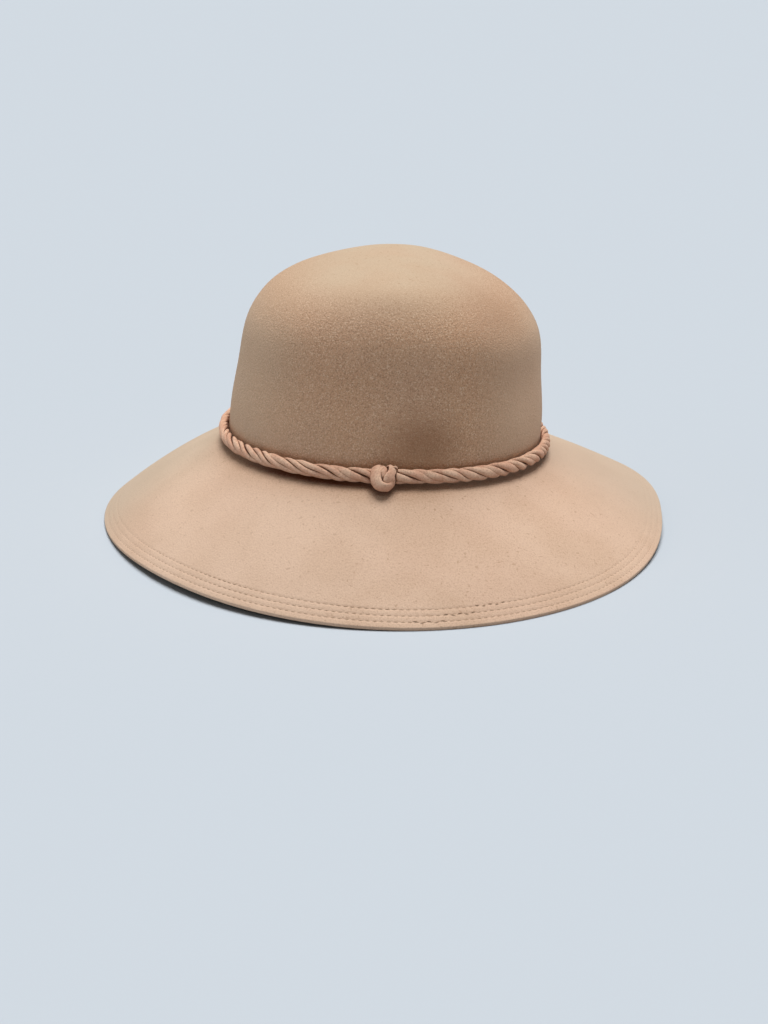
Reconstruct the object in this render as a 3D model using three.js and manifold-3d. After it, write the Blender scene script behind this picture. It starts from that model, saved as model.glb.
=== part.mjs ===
// Wide-brim felt hat with a twisted felt band that is tied in a small knot at the front.
// Millimetres, +Z up. The front of the hat faces -Y, and the wearer's left side is at +X.
// The origin lies on the surface that the brim's edge rests on, under the middle of the hat.
// An azimuth is an angle in degrees about +Z that turns from +X towards +Y, so the front is at 270.

import * as THREE from "three";
import { ParametricGeometry } from "three/addons/geometries/ParametricGeometry.js";
import { mergeVertices } from "three/addons/utils/BufferGeometryUtils.js";
import Module from "manifold-3d";

// Driving dimensions of the felt body
const FELT_THICKNESS = 2.0;
const OVAL_LENGTH_TO_WIDTH = 1.19; // the crown's plan is an oval, longer from front to back
const OVAL_EXPONENT = 2.15; // 2 would be an ellipse; a hat block is slightly squarer
const CROWN_HEIGHT = 106.5; // from the root plane, where the wall meets the brim, to the dome's top
const ROOT_PLANE_HEIGHT = 46.1;
const ROOT_PLANE_SLOPE_X = -0.043; // the crown leans a little, so the root plane isn't level
const ROOT_PLANE_SLOPE_Y = -0.071;
const CROWN_CENTRE = { x: 0.1, y: -2.3 }; // of its oval at the root; the brim reaches unevenly round it
const FILLET_LEG = 2.6; // how far the hollow curve at the root reaches up the wall and out on the brim
const EDGE_HEIGHT = 1.6; // of the brim's upper edge above the surface that the hat rests on
const EDGE_LEAN = 0.3; // the cut edge leans in this much on its way down
const EDGE_LAND = 1.2; // width of the flat ring under the edge that the hat rests on

// Driving dimensions of the band and its knot
const BAND_RADIUS = 3.7; // of the rope that the two twisted plies make
const BAND_PITCH = 36; // length of one full turn of the twist
const PLY_HALF_THICKNESS = 1.72; // a ply is flattened against the other one
const PLY_HALF_WIDTH = 2.75;
const PLY_START_TURNS = [0, 0.5]; // of each ply round the rope, where the band starts
const SEAT_GAP = 0.3; // between pieces that touch
const KNOT_CORE = { across: 6.1, up: 6.0, out: 4.5 }; // half sizes, below the loops
const KNOT_LEAN = 30; // degrees that the knot faces up, away from the slope of the brim
const KNOT_OFFSET = { out: 4.95, up: 3.2 }; // of its centre from the foot of the crown's wall
const KNOT_HALF_WIDTH = 6.7; // its greatest, over the strips

// Sections of the crown, from its root up to the dome's top. A front stretch is how much further,
// as a share, the crown reaches at its very front than the oval does.
const CROWN_SECTIONS = [
  { heightShare: 0.0, halfWidth: 84.5, shiftX: 0.6, frontStretch: 0.0 },
  { heightShare: 0.2, halfWidth: 84.5, shiftX: 1.3, frontStretch: 0.0 },
  { heightShare: 0.42, halfWidth: 81.8, shiftX: 2.0, frontStretch: 0.01 },
  { heightShare: 0.62, halfWidth: 78.7, shiftX: 2.6, frontStretch: 0.04 },
  { heightShare: 0.81, halfWidth: 63.3, shiftX: 1.3, frontStretch: 0.17 },
  { heightShare: 0.925, halfWidth: 38.6, shiftX: 2.2, frontStretch: 0.42 },
  { heightShare: 1.0, halfWidth: 0.0, shiftX: 3.6, frontStretch: 0.44 },
];

// Slight hand dents in the crown's wall
const DENTS = [
  { azimuth: 282, heightShare: 0.16, depth: 1.8, halfAcross: 13, halfUp: 8 },
  { azimuth: 316, heightShare: 0.7, depth: 1.5, halfAcross: 16, halfUp: 12 },
  { azimuth: 322, heightShare: 0.35, depth: 1.0, halfAcross: 15, halfUp: 24 },
];

// The brim, once round the hat: its reach out from the crown's oval in plan, how strongly it curves
// down on the way (0 is straight), and how high the band's centre lies above the root plane
const BRIM = [
  { azimuth: 0, reach: 69.2, droop: 0.22, bandRise: 4.9 },
  { azimuth: 50, reach: 78.1, droop: 0.17, bandRise: 4.4 },
  { azimuth: 90, reach: 73.4, droop: 0.26, bandRise: 4.0 },
  { azimuth: 130, reach: 72.6, droop: 0.38, bandRise: 4.3 },
  { azimuth: 180, reach: 70.6, droop: 0.3, bandRise: 4.8 },
  { azimuth: 230, reach: 60.6, droop: 0.27, bandRise: 4.2 },
  { azimuth: 270, reach: 68.9, droop: 0.28, bandRise: 3.8 },
  { azimuth: 310, reach: 69.2, droop: 0.25, bandRise: 4.2 },
];

// Where the brim's edge waves up off the surface that the hat rests on
const EDGE_LIFTS = [
  { azimuth: 8, height: 4.1, halfSpan: 62 },
  { azimuth: 231, height: 3.3, halfSpan: 50 },
];

// How finely the surfaces are faceted
const FELT_SEGMENTS = 64;
const DOME_RINGS = 13;
const BRIM_RINGS = 6;
const STEPS_PER_TWIST = 9;
const STRAND_CURVE_SEGMENTS = 4; // round the section of a ply or a knot's strip
const STRIP_STEPS = 9; // along a knot's strip
const KNOT_CORE_SEGMENTS = 14;
const KNOT_CORE_RINGS = 9;
const LINE_SAMPLES = 1200; // for the lengths along the band

const FRONT = 270; // the azimuth of the knot
const WELD_DISTANCE = 1e-4; // corners of a geometry that are nearer than this are one corner

// Natural cubic spline through the points (xs[i], ys[i])
function cubicThrough(xs, ys) {
  const last = xs.length - 1;
  const bend = new Array(last + 1).fill(0);
  const carry = new Array(last + 1).fill(0);
  for (let i = 1; i < last; i++) {
    const before = xs[i] - xs[i - 1];
    const after = xs[i + 1] - xs[i];
    const kink = (ys[i + 1] - ys[i]) / after - (ys[i] - ys[i - 1]) / before;
    const pivot = 2 * (before + after) - before * carry[i - 1];
    carry[i] = after / pivot;
    bend[i] = (6 * kink - before * bend[i - 1]) / pivot;
  }
  for (let i = last - 1; i > 0; i--) {
    bend[i] -= carry[i] * bend[i + 1];
  }
  return (x) => {
    let i = 0;
    while (i < last - 1 && x > xs[i + 1]) {
      i += 1;
    }
    const span = xs[i + 1] - xs[i];
    const b = (x - xs[i]) / span;
    const a = 1 - b;
    const curved = ((a ** 3 - a) * bend[i] + (b ** 3 - b) * bend[i + 1]) * span * span / 6;
    return a * ys[i] + b * ys[i + 1] + curved;
  };
}

// One column of the brim's table as a smooth function of azimuth, the same again after a full turn
function aroundBrim(column) {
  const turns = [-360, 0, 360];
  const azimuths = turns.flatMap((turn) => BRIM.map((row) => row.azimuth + turn));
  const values = turns.flatMap(() => BRIM.map((row) => row[column]));
  const spline = cubicThrough(azimuths, values);
  return (azimuth) => spline(((azimuth % 360) + 360) % 360);
}

const brimReach = aroundBrim("reach");
const brimDroop = aroundBrim("droop");
const bandRise = aroundBrim("bandRise");

// Degrees from one azimuth to another, between -180 and 180
function turnFrom(start, azimuth) {
  return ((azimuth - start + 540) % 360) - 180;
}

// Height of the underside of the brim's edge above the surface
function edgeLift(azimuth) {
  return EDGE_LIFTS.reduce((sum, lift) => {
    const share = Math.min(Math.abs(turnFrom(lift.azimuth, azimuth)) / lift.halfSpan, 1);
    return sum + lift.height * (1 + Math.cos(Math.PI * share)) / 2;
  }, 0);
}

// The crown's sections as smooth functions of the length along its outline, from root to top.
// The outline is mirrored past the top, so that the dome is level there.
const crownOutline = (() => {
  const lengths = [0];
  for (let i = 1; i < CROWN_SECTIONS.length; i++) {
    const lower = CROWN_SECTIONS[i - 1];
    const upper = CROWN_SECTIONS[i];
    const rise = (upper.heightShare - lower.heightShare) * CROWN_HEIGHT;
    lengths.push(lengths[i - 1] + Math.hypot(rise, upper.halfWidth - lower.halfWidth));
  }
  const total = lengths[lengths.length - 1];
  const below = CROWN_SECTIONS.slice(0, -1).reverse();
  const xs = [...lengths, ...lengths.slice(0, -1).reverse().map((length) => 2 * total - length)];
  const mirrored = (column, sign) =>
    cubicThrough(xs, [...CROWN_SECTIONS, ...below].map((row, i) =>
      i < CROWN_SECTIONS.length ? row[column] : sign * row[column]));
  return {
    total,
    halfWidth: mirrored("halfWidth", -1),
    heightShare: mirrored("heightShare", 1),
    shiftX: mirrored("shiftX", 1),
    frontStretch: mirrored("frontStretch", 1),
  };
})();

const radians = (degrees) => THREE.MathUtils.degToRad(degrees);

// Radius of the crown's plan at an azimuth, for a half width of 1
function ovalRadius(azimuth) {
  const across = Math.abs(Math.cos(radians(azimuth))) ** OVAL_EXPONENT;
  const along = Math.abs(Math.sin(radians(azimuth)) / OVAL_LENGTH_TO_WIDTH) ** OVAL_EXPONENT;
  return (across + along) ** (-1 / OVAL_EXPONENT);
}

// The level direction straight out of the crown's plan at an azimuth
function ovalNormal(azimuth) {
  const x = Math.cos(radians(azimuth));
  const y = Math.sin(radians(azimuth));
  const steep = OVAL_EXPONENT - 1;
  const across = Math.sign(x) * Math.abs(x) ** steep;
  const along = Math.sign(y) * Math.abs(y) ** steep / OVAL_LENGTH_TO_WIDTH ** OVAL_EXPONENT;
  return new THREE.Vector3(across, along, 0).normalize();
}

// How far the dents push the wall in at an azimuth and a length along the crown's outline.
// They fade out towards the top, where all azimuths meet.
function dentDepth(azimuth, length) {
  const baseRadius = CROWN_SECTIONS[0].halfWidth;
  const fade = crownOutline.halfWidth(length) / baseRadius;
  return fade * DENTS.reduce((sum, dent) => {
    const across = radians(turnFrom(dent.azimuth, azimuth)) * baseRadius / dent.halfAcross;
    const up = (crownOutline.heightShare(length) - dent.heightShare) * CROWN_HEIGHT / dent.halfUp;
    return sum + dent.depth * Math.exp(-across * across - up * up);
  }, 0);
}

// Point on the outside of the crown, at a length along its outline from the root
function crownPoint(azimuth, length) {
  const height = crownOutline.heightShare(length) * CROWN_HEIGHT;
  const radius = crownOutline.halfWidth(length) * ovalRadius(azimuth);
  const x = crownOutline.shiftX(length) + radius * Math.cos(radians(azimuth));
  const forward = Math.max(0, -Math.sin(radians(azimuth)));
  const stretch = 1 + crownOutline.frontStretch(length) * forward ** 2;
  const y = radius * Math.sin(radians(azimuth)) * stretch;
  const point = new THREE.Vector3(
    CROWN_CENTRE.x + x - ROOT_PLANE_SLOPE_X * height,
    CROWN_CENTRE.y + y - ROOT_PLANE_SLOPE_Y * height,
    ROOT_PLANE_HEIGHT + height + ROOT_PLANE_SLOPE_X * x + ROOT_PLANE_SLOPE_Y * y,
  );
  return point.addScaledVector(ovalNormal(azimuth), -dentDepth(azimuth, length));
}

// Point on the top of the brim, at a share of its reach out from the root
function brimPoint(azimuth, share) {
  const root = crownPoint(azimuth, 0);
  const droop = brimDroop(azimuth);
  const fall = root.z - EDGE_HEIGHT - edgeLift(azimuth);
  const drop = fall * ((1 - droop) * share + droop * share * share);
  const point = root.clone().addScaledVector(ovalNormal(azimuth), brimReach(azimuth) * share);
  point.z = root.z - drop;
  return point;
}

// Point on the hollow curve between the wall (share 0) and the brim (share 1)
function filletPoint(azimuth, share) {
  const onWall = crownPoint(azimuth, FILLET_LEG);
  const corner = crownPoint(azimuth, 0);
  const onBrim = brimPoint(azimuth, FILLET_LEG / brimReach(azimuth));
  return new THREE.QuadraticBezierCurve3(onWall, corner, onBrim).getPoint(share);
}

// Point on the whole outside of the felt: station 0 to 1 is the crown from its top down to the
// fillet, 1 to 2 the fillet, and 2 to 3 the brim out to its edge
function outsidePoint(azimuth, station) {
  if (station <= 1) {
    const total = crownOutline.total;
    return crownPoint(azimuth, total - station * (total - FILLET_LEG));
  }
  if (station < 2) {
    return filletPoint(azimuth, station - 1);
  }
  const start = FILLET_LEG / brimReach(azimuth);
  return brimPoint(azimuth, start + (station - 2) * (1 - start));
}

// Point on the inside of the felt, one thickness below the outside
function insidePoint(azimuth, station) {
  const outside = outsidePoint(azimuth, station);
  if (station === 0) {
    return outside.setZ(outside.z - FELT_THICKNESS);
  }
  const turn = 0.5;
  const step = 0.01;
  const across = outsidePoint(azimuth + turn, station).sub(outsidePoint(azimuth - turn, station));
  const ahead = outsidePoint(azimuth, Math.min(station + step, 3));
  const down = ahead.sub(outsidePoint(azimuth, station - step));
  return outside.addScaledVector(down.cross(across).normalize(), -FELT_THICKNESS);
}

// Point on the flat ring under the brim's edge, an inset in from the upper edge
function landPoint(azimuth, inset) {
  const point = outsidePoint(azimuth, 3).addScaledVector(ovalNormal(azimuth), -inset);
  return point.setZ(edgeLift(azimuth));
}

// Crown and brim as one closed skin: over the outside, round the edge and back along the inside
function feltBodyGeometry() {
  const domeStations = [];
  for (let i = 0; i <= DOME_RINGS; i++) {
    domeStations.push(i / DOME_RINGS);
  }
  const brimStations = [];
  for (let i = 0; i <= BRIM_RINGS; i++) {
    brimStations.push(2 + i / BRIM_RINGS);
  }
  const outerFillet = [1 + 1 / 3, 1 + 2 / 3];
  const innerFillet = [1.5];
  const behindLand = 2.93; // the underside starts just behind the flat ring
  const outside = [...domeStations, ...outerFillet, ...brimStations];
  const underside = [behindLand, ...brimStations.slice(0, -1).reverse()];
  const inside = [...underside, ...innerFillet, ...domeStations.slice().reverse()];
  const rows = [
    ...outside.map((station) => (azimuth) => outsidePoint(azimuth, station)),
    (azimuth) => landPoint(azimuth, EDGE_LEAN),
    (azimuth) => landPoint(azimuth, EDGE_LEAN + EDGE_LAND),
    ...inside.map((station) => (azimuth) => insidePoint(azimuth, station)),
  ];
  const place = (u, v, target) => {
    const row = rows[Math.round(v * (rows.length - 1))];
    target.copy(row(((1 - u) * 360) % 360));
  };
  return new ParametricGeometry(place, FELT_SEGMENTS, rows.length - 1);
}

// Centre line of the band, from the knot's +X side round the back of the crown to its -X side
class BandLine extends THREE.Curve {
  constructor(startAzimuth, endAzimuth) {
    super();
    this.startAzimuth = startAzimuth;
    this.endAzimuth = endAzimuth;
    this.arcLengthDivisions = LINE_SAMPLES;
  }

  azimuthAt(t) {
    return THREE.MathUtils.lerp(this.startAzimuth, this.endAzimuth, t);
  }

  getPoint(t, target = new THREE.Vector3()) {
    const azimuth = this.azimuthAt(t);
    const wall = crownPoint(azimuth, bandRise(azimuth));
    return target.copy(wall).addScaledVector(ovalNormal(azimuth), BAND_RADIUS + SEAT_GAP);
  }
}

// Centre line of one ply, which winds about the band's own line. Its frames turn with the twist,
// so that the ply's flattened side always faces the other ply.
class PlyLine extends THREE.Curve {
  constructor(bandLine, startTurn) {
    super();
    this.bandLine = bandLine;
    this.startTurn = startTurn;
    this.turns = bandLine.getLength() / BAND_PITCH;
    this.arcLengthDivisions = LINE_SAMPLES;
  }

  // Unit vector from the band's line to the ply at t, turning clockwise as the line runs away
  outward(t) {
    const tangent = this.bandLine.getTangentAt(t);
    const azimuth = this.bandLine.azimuthAt(this.bandLine.getUtoTmapping(t));
    const level = ovalNormal(azimuth).projectOnPlane(tangent).normalize();
    const turn = this.startTurn + this.turns * t;
    return level.applyAxisAngle(tangent, turn * 2 * Math.PI);
  }

  getPoint(t, target = new THREE.Vector3()) {
    const centre = this.bandLine.getPointAt(t);
    return target.copy(centre).addScaledVector(this.outward(t), BAND_RADIUS - PLY_HALF_THICKNESS);
  }

  computeFrenetFrames(segments) {
    const frames = { tangents: [], normals: [], binormals: [] };
    for (let i = 0; i <= segments; i++) {
      const t = this.getUtoTmapping(i / segments);
      const tangent = this.bandLine.getTangentAt(t);
      const normal = this.outward(t);
      frames.tangents.push(tangent);
      frames.normals.push(normal);
      frames.binormals.push(tangent.clone().cross(normal));
    }
    return frames;
  }
}

function bandLineBetweenKnotSides() {
  const halfWidth = KNOT_HALF_WIDTH + SEAT_GAP;
  const halfLength = CROWN_SECTIONS[0].halfWidth * OVAL_LENGTH_TO_WIDTH + BAND_RADIUS;
  const halfTurn = THREE.MathUtils.radToDeg(Math.asin(halfWidth / halfLength));
  return new BandLine(FRONT + halfTurn, FRONT + 360 - halfTurn);
}

// One ply: a flattened strand that is swept along its winding line
function plyGeometry(bandLine, startTurn) {
  const line = new PlyLine(bandLine, startTurn);
  const section = new THREE.Shape();
  section.absellipse(0, 0, PLY_HALF_THICKNESS, PLY_HALF_WIDTH, 0, 2 * Math.PI);
  return new THREE.ExtrudeGeometry(section, {
    steps: Math.round(line.turns * STEPS_PER_TWIST),
    curveSegments: STRAND_CURVE_SEGMENTS,
    extrudePath: line,
  });
}

// The knot's strips, in its own axes: x to the side, y up along its face, z out of its face
const KNOT_STRIPS = [
  {
    halfWidth: 2.5,
    halfThickness: 1.3,
    points: [
      [-2.8, 5.2, -0.8], [-4.6, 2.9, 1.9], [-4.8, -0.6, 2.8], [-2.7, -3.7, 3.0],
      [0.8, -4.8, 2.6], [3.8, -3.4, 1.9], [5.4, -0.6, 0.4],
    ],
  },
  {
    halfWidth: 1.9,
    halfThickness: 1.3,
    points: [[4.0, 5.0, -0.8], [3.9, 2.9, 1.9], [2.6, 0.6, 3.4], [1.0, -1.9, 3.9]],
  },
];

// Path of a strip that lies flat on the knot, with its section turned to face out of the knot
class StripLine extends THREE.CatmullRomCurve3 {
  computeFrenetFrames(segments) {
    const frames = { tangents: [], normals: [], binormals: [] };
    for (let i = 0; i <= segments; i++) {
      const tangent = this.getTangentAt(i / segments);
      const normal = this.getPointAt(i / segments).projectOnPlane(tangent).normalize();
      frames.tangents.push(tangent);
      frames.normals.push(normal);
      frames.binormals.push(tangent.clone().cross(normal));
    }
    return frames;
  }
}

const wasm = await Module();
wasm.setup();

// A closed geometry as a solid that can be joined
function toSolid(geometry) {
  geometry.deleteAttribute("normal");
  geometry.deleteAttribute("uv");
  const merged = mergeVertices(geometry, WELD_DISTANCE);
  return new wasm.Manifold(new wasm.Mesh({
    numProp: 3,
    vertProperties: merged.attributes.position.array,
    triVerts: merged.index.array,
  }));
}

function toGeometry(solid) {
  const mesh = solid.getMesh();
  const geometry = new THREE.BufferGeometry();
  geometry.setAttribute("position", new THREE.BufferAttribute(mesh.vertProperties, 3));
  geometry.setIndex(new THREE.BufferAttribute(mesh.triVerts, 1));
  geometry.computeVertexNormals();
  return geometry;
}

// The knot: a rounded core with the band's strip passing over it twice
function knotGeometry() {
  const core = new THREE.SphereGeometry(1, KNOT_CORE_SEGMENTS, KNOT_CORE_RINGS);
  core.scale(KNOT_CORE.across, KNOT_CORE.up, KNOT_CORE.out);
  const strips = KNOT_STRIPS.map((strip) => {
    const section = new THREE.Shape();
    section.absellipse(0, 0, strip.halfThickness, strip.halfWidth, 0, 2 * Math.PI);
    const path = new StripLine(strip.points.map((point) => new THREE.Vector3(...point)));
    return new THREE.ExtrudeGeometry(section, {
      steps: STRIP_STEPS,
      curveSegments: STRAND_CURVE_SEGMENTS,
      extrudePath: path,
    });
  });
  const solid = strips.reduce((whole, strip) => whole.add(toSolid(strip)), toSolid(core));
  return toGeometry(solid);
}

function feltMaterial(color) {
  return new THREE.MeshStandardMaterial({ color, roughness: 0.95, metalness: 0, side: THREE.FrontSide });
}

function namedMesh(name, geometry, material) {
  const mesh = new THREE.Mesh(geometry, material);
  mesh.name = name;
  return mesh;
}

const BODY_COLOR = 0xd2b195;
const BAND_COLOR = 0xcda894;

const hat = new THREE.Group();
hat.add(namedMesh("felt_body", feltBodyGeometry(), feltMaterial(BODY_COLOR)));

const bandLine = bandLineBetweenKnotSides();
PLY_START_TURNS.forEach((startTurn, i) => {
  const name = `band_ply_${i + 1}`;
  hat.add(namedMesh(name, plyGeometry(bandLine, startTurn), feltMaterial(BAND_COLOR)));
});

const knot = namedMesh("band_knot", knotGeometry(), feltMaterial(BAND_COLOR));
const wallFoot = crownPoint(FRONT, 0);
const knotPlace = new THREE.Group();
knotPlace.position.set(wallFoot.x, wallFoot.y - KNOT_OFFSET.out, wallFoot.z + KNOT_OFFSET.up);
knotPlace.rotation.x = radians(90 - KNOT_LEAN);
knotPlace.add(knot);
hat.add(knotPlace);

export default hat;
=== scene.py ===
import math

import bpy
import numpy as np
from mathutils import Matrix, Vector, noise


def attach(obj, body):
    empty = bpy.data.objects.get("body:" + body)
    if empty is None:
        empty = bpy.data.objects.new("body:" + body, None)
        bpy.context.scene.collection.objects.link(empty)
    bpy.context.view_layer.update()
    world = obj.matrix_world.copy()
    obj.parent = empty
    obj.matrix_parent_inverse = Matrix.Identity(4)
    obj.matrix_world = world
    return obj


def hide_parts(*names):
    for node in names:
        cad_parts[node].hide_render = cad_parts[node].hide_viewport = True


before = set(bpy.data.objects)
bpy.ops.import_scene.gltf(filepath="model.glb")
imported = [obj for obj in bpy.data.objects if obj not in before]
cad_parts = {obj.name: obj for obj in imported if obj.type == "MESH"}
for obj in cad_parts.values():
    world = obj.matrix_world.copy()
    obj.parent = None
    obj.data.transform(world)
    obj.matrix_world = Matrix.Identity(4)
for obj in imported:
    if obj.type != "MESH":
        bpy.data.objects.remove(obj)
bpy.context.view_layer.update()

# Wide-brim felt hat with a twisted felt band that is tied in a small knot at the front.
# Lengths are in millimetres, and MM turns them into metres. The front of the hat faces -Y.
# An azimuth is an angle in degrees about +Z that turns from +X towards +Y, so the front is at 270.

MM = 0.001
FRONT = 270

# Driving dimensions of the felt body, as in the solid that it replaces
FELT_THICKNESS = 2.0
OVAL_LENGTH_TO_WIDTH = 1.19  # the crown's plan is an oval, longer from front to back
OVAL_EXPONENT = 2.15  # 2 would be an ellipse; a hat block is slightly squarer
CROWN_HEIGHT = 106.5  # from the root plane, where the wall meets the brim, to the dome's top
ROOT_PLANE_HEIGHT = 46.1
ROOT_PLANE_SLOPE_X = -0.043  # the crown leans a little, so the root plane isn't level
ROOT_PLANE_SLOPE_Y = -0.071
CROWN_CENTRE = (0.1, -2.3)  # of its oval at the root
FILLET_LEG = 2.6  # how far the hollow curve at the root reaches up the wall and out on the brim
EDGE_HEIGHT = 1.6  # of the brim's upper edge above the surface that the hat rests on
EDGE_LEAN = 0.3  # the cut edge leans in this much on its way down
EDGE_LAND = 1.2  # how far in from the edge the flat ring reaches that the hat rests on

# Sections of the crown, from its root up to the dome's top. A front stretch is how much further,
# as a share, the crown reaches at its very front than the oval does.
CROWN_SECTIONS = [
    dict(height_share=0.0, half_width=84.5, shift_x=0.6, front_stretch=0.0),
    dict(height_share=0.2, half_width=84.5, shift_x=1.3, front_stretch=0.0),
    dict(height_share=0.42, half_width=81.8, shift_x=2.0, front_stretch=0.01),
    dict(height_share=0.62, half_width=78.7, shift_x=2.6, front_stretch=0.04),
    dict(height_share=0.81, half_width=63.3, shift_x=1.3, front_stretch=0.17),
    dict(height_share=0.925, half_width=38.6, shift_x=2.2, front_stretch=0.42),
    dict(height_share=1.0, half_width=0.0, shift_x=3.6, front_stretch=0.44),
]

# Slight hand dents in the crown's wall
DENTS = [
    dict(azimuth=282, height_share=0.16, depth=1.8, half_across=13, half_up=8),
    dict(azimuth=316, height_share=0.7, depth=1.5, half_across=16, half_up=12),
    dict(azimuth=322, height_share=0.35, depth=1.0, half_across=15, half_up=24),
]

# The brim, once round the hat: its reach, how strongly it curves down, and the band's height on it
BRIM = [
    dict(azimuth=0, reach=69.2, droop=0.22, band_rise=4.9),
    dict(azimuth=50, reach=78.1, droop=0.17, band_rise=4.4),
    dict(azimuth=90, reach=73.4, droop=0.26, band_rise=4.0),
    dict(azimuth=130, reach=72.6, droop=0.38, band_rise=4.3),
    dict(azimuth=180, reach=70.6, droop=0.3, band_rise=4.8),
    dict(azimuth=230, reach=60.6, droop=0.27, band_rise=4.2),
    dict(azimuth=270, reach=68.9, droop=0.28, band_rise=3.8),
    dict(azimuth=310, reach=69.2, droop=0.25, band_rise=4.2),
]

# Where the brim's edge waves up off the floor
EDGE_LIFTS = [
    dict(azimuth=8, height=4.1, half_span=62),
    dict(azimuth=231, height=3.3, half_span=50),
]

# Fine shape of the felt's surface
UNDULATIONS = [dict(height=0.30, wavelength=46.0), dict(height=0.10, wavelength=17.0)]
UNDULATION_START = 6.0  # height above the floor from which the surface is uneven
UNDULATION_FULL = 18.0
EDGE_ROUNDING = 0.45  # how far the felt's upper corner is rounded off, along each side of it
FOOT_ROUNDING = 0.35
GROOVE_DEPTH = 0.15
GROOVE_HALF_WIDTH = 0.6
GROOVE_SIDE_SHARE = 0.45  # how deep the grooves are at the hat's sides, next to its front
UNDERSIDE_GROOVE_SHARE = 0.6  # how deep they are on the underside, next to the top

# How finely the felt is divided
FELT_COLUMNS = 400
CROWN_ROWS = 54
FILLET_SHARES = (0.2, 0.4, 0.6, 0.8)
BRIM_ROWS = 26
STITCH_ZONE_ROWS = 38
CORNER_SHARES = (0.2, 0.4, 0.6, 0.8, 1.0)
FOOT_SHARES = (0.0, 0.33, 0.67, 1.0)
ROWS_OVER_LAND = 3  # rows of the underside that the flat ring takes the place of
DOME_CLOSING_RISE = 0.02  # of the dome's topmost point above the ring of points round it

# Stitching near the brim's edge
STITCH_ROWS = [3.1, 6.5, 9.9]  # distances in from the edge, along the felt
STITCH_ZONE = 12.0
STITCH_LENGTH = 3.4
STITCH_GAP = 0.25
THREAD_RADIUS = 0.15
STITCH_ARCH = dict(bow=1.3, sunk=1.1)  # in thread radii, how far it bows up and its ends lie sunk
STITCH_TAPER = 0.12  # where on a half wave of a sine the narrowing at a stitch's end starts
TOP_STITCH = dict(points=7, sides=5)
UNDER_STITCH = dict(points=5, sides=4)
LAPPED_STITCHES = 5  # sewn twice, where each row's end laps over its start
LAP_AZIMUTHS = [274, 279, 284]
LAPPED_ARCH = dict(bow=2.2, sunk=1.0)
LAPPED_LENGTH_SHARE = 0.86  # of a stitch's length
LAPPED_ASIDE = 0.45  # how far a lapped stitch lies beside its row, by turns on either side
STITCH_PATH_POINTS = 1801
INWARD_STEP = 0.01  # share of the brim's reach over which its inward direction is taken

# Driving dimensions of the band
BAND_RADIUS = 3.7
BAND_PITCH = 36.0
PLY_GAP = 0.3
SEAT_GAP = 0.3
BAND_SQUASH = 0.74  # share of its thickness that the band keeps, pressed against the wall
BAND_START = 5.4  # half the distance between the band's two ends, inside the knot
BAND_LINE_POINTS = 2401

# Driving dimensions of the knot
KNOT_LEAN = 30
KNOT_OFFSET = dict(side=-0.5, out=4.95, up=3.3)
KNOT_STRETCH = (1.12, 1.09, 1.0, 1.06)  # of x, y, z and the width in the table of its strips


def natural_spline(xs, ys):
    """Natural cubic spline through the points (xs[i], ys[i]), as a function of an array."""
    xs = np.array(xs, float)
    ys = np.array(ys, float)
    spans = np.diff(xs)
    last = len(xs) - 1
    system = np.eye(last + 1)
    kinks = np.zeros(last + 1)
    for i in range(1, last):
        system[i, i - 1 : i + 2] = spans[i - 1], 2 * (spans[i - 1] + spans[i]), spans[i]
        kinks[i] = 6 * ((ys[i + 1] - ys[i]) / spans[i] - (ys[i] - ys[i - 1]) / spans[i - 1])
    bends = np.linalg.solve(system, kinks)

    def at(x):
        i = np.clip(np.searchsorted(xs, x) - 1, 0, last - 1)
        b = (x - xs[i]) / spans[i]
        a = 1 - b
        curved = ((a**3 - a) * bends[i] + (b**3 - b) * bends[i + 1]) * spans[i] ** 2 / 6
        return a * ys[i] + b * ys[i + 1] + curved

    return at


def unit(vectors):
    """Vectors of length 1 in the same directions."""
    return vectors / np.linalg.norm(vectors, axis=-1, keepdims=True)


def square_to(tangents, vectors):
    """Unit vectors square to the tangents, as near as can be to the given vectors."""
    return unit(vectors - tangents * (vectors * tangents).sum(axis=1, keepdims=True))


def running_lengths(points):
    """Length along a line of points, up to each of them."""
    return np.concatenate([[0], np.cumsum(np.linalg.norm(np.diff(points, axis=0), axis=1))])


def along_line(s, lengths, table):
    """The vectors of a table at the lengths s along a line, where it has one for each of lengths."""
    return np.stack([np.interp(s, lengths, table[:, k]) for k in range(3)], axis=-1)


def cut_corner(before, corner, after, share):
    """Points on a soft curve that cuts a corner, from before (share 0) to after (share 1)."""
    return before * (1 - share) ** 2 + corner * 2 * share * (1 - share) + after * share**2


def around_brim(column):
    """One column of the brim's table as a function of azimuth, the same again after a full turn."""
    turns = [-360, 0, 360]
    azimuths = [row["azimuth"] + turn for turn in turns for row in BRIM]
    values = [row[column] for turn in turns for row in BRIM]
    spline = natural_spline(azimuths, values)
    return lambda azimuth: spline(np.mod(azimuth, 360))


brim_reach = around_brim("reach")
brim_droop = around_brim("droop")
band_rise = around_brim("band_rise")


def turn_from(start, azimuth):
    """Degrees from one azimuth to another, between -180 and 180."""
    return np.mod(azimuth - start + 180, 360) - 180


def edge_lift(azimuth):
    """Height of the underside of the brim's edge above the floor."""
    height = np.zeros_like(azimuth, dtype=float)
    for lift in EDGE_LIFTS:
        share = np.minimum(np.abs(turn_from(lift["azimuth"], azimuth)) / lift["half_span"], 1)
        height += lift["height"] * (1 + np.cos(np.pi * share)) / 2
    return height


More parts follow.
